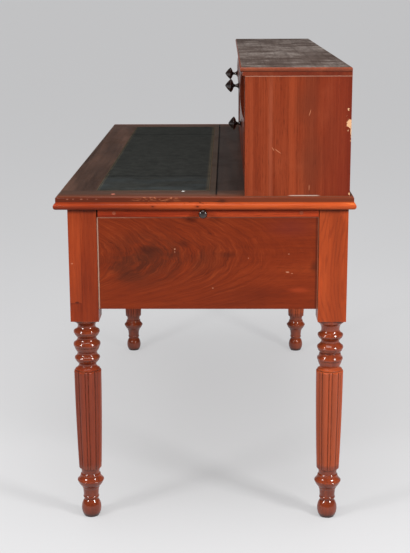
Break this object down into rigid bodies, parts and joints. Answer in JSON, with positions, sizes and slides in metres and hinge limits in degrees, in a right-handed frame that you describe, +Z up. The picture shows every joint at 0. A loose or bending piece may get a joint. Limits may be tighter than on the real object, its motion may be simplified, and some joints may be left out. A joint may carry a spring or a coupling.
{
  "type": "writing desk",
  "caption": "Mahogany writing desk with turned reeded legs, a leather writing surface, end slides, drawers over a kneehole and a low case of drawers and pigeonholes along the back.",
  "frame": {"origin": "on the floor under the middle of the top", "axes": "+Z up, +X along the length to the sitter's right, +Y from the front to the back"},
  "size_m": [1.428, 0.656, 1.035],
  "materials": {
    "mahogany": "polished",
    "flame_mahogany": "polished",
    "lining_wood": "plain",
    "ebonised_wood": "polished",
    "leather": "satin"
  },
  "bodies": {
    "desk": {"leg_front_left": "mahogany", "leg_front_right": "mahogany", "leg_back_left": "mahogany", "leg_back_right": "mahogany", "end_apron_left": "flame_mahogany", "end_apron_right": "flame_mahogany", "back_apron": "mahogany", "cheek_left": "mahogany", "cheek_right": "mahogany", "front_top_rail": "mahogany", "centre_drawer_rail": "mahogany", "bottom_rails": "mahogany", "drawer_runners": "lining_wood", "slide_bearers": "lining_wood", "glue_blocks": "lining_wood", "top_core": "mahogany", "top_front_board": "mahogany", "top_back_board": "mahogany", "top_clamp_left": "mahogany", "top_clamp_right": "mahogany", "writing_leather": "leather", "case_end_left": "mahogany", "case_end_right": "mahogany", "case_lid": "mahogany", "case_base_board": "mahogany", "case_upright_left": "mahogany", "case_upright_right": "mahogany", "case_shelf": "mahogany", "case_partition": "mahogany", "case_back_panel": "lining_wood", "case_dowels": "lining_wood"},
    "slide_left": {"slide_left_board": "mahogany", "slide_left_lipping": "mahogany", "slide_left_pegs": "mahogany", "slide_left_knob": "ebonised_wood"},
    "slide_right": {"slide_right_board": "mahogany", "slide_right_lipping": "mahogany", "slide_right_pegs": "mahogany", "slide_right_knob": "ebonised_wood"},
    "drawer_left": {"drawer_left_front": "mahogany", "drawer_left_sides": "lining_wood", "drawer_left_floor": "lining_wood", "drawer_left_knob": "ebonised_wood"},
    "drawer_centre": {"drawer_centre_front": "mahogany", "drawer_centre_sides": "lining_wood", "drawer_centre_floor": "lining_wood", "drawer_centre_knob": "ebonised_wood"},
    "drawer_right": {"drawer_right_front": "mahogany", "drawer_right_sides": "lining_wood", "drawer_right_floor": "lining_wood", "drawer_right_knob": "ebonised_wood"},
    "small_left": {"small_left_front": "mahogany", "small_left_box": "lining_wood", "small_left_knob": "ebonised_wood"},
    "small_right": {"small_right_front": "mahogany", "small_right_box": "lining_wood", "small_right_knob": "ebonised_wood"},
    "wide_drawer": {"wide_drawer_front": "mahogany", "wide_drawer_box": "lining_wood", "wide_drawer_knob": "ebonised_wood"}
  },
  "joints": [
    {"name": "slide_left_pull", "type": "slide", "parent": "desk", "child": "slide_left", "axis": [-1, 0, 0], "range_m": [0, 0.28]},
    {"name": "slide_right_pull", "type": "slide", "parent": "desk", "child": "slide_right", "axis": [1, 0, 0], "range_m": [0, 0.28]},
    {"name": "drawer_left_pull", "type": "slide", "parent": "desk", "child": "drawer_left", "axis": [0, -1, 0], "range_m": [0, 0.4]},
    {"name": "drawer_centre_pull", "type": "slide", "parent": "desk", "child": "drawer_centre", "axis": [0, -1, 0], "range_m": [0, 0.4]},
    {"name": "drawer_right_pull", "type": "slide", "parent": "desk", "child": "drawer_right", "axis": [0, -1, 0], "range_m": [0, 0.4]},
    {"name": "small_left_pull", "type": "slide", "parent": "desk", "child": "small_left", "axis": [0, -1, 0], "range_m": [0, 0.16]},
    {"name": "small_right_pull", "type": "slide", "parent": "desk", "child": "small_right", "axis": [0, -1, 0], "range_m": [0, 0.16]},
    {"name": "wide_drawer_pull", "type": "slide", "parent": "desk", "child": "wide_drawer", "axis": [0, -1, 0], "range_m": [0, 0.16]}
  ]
}
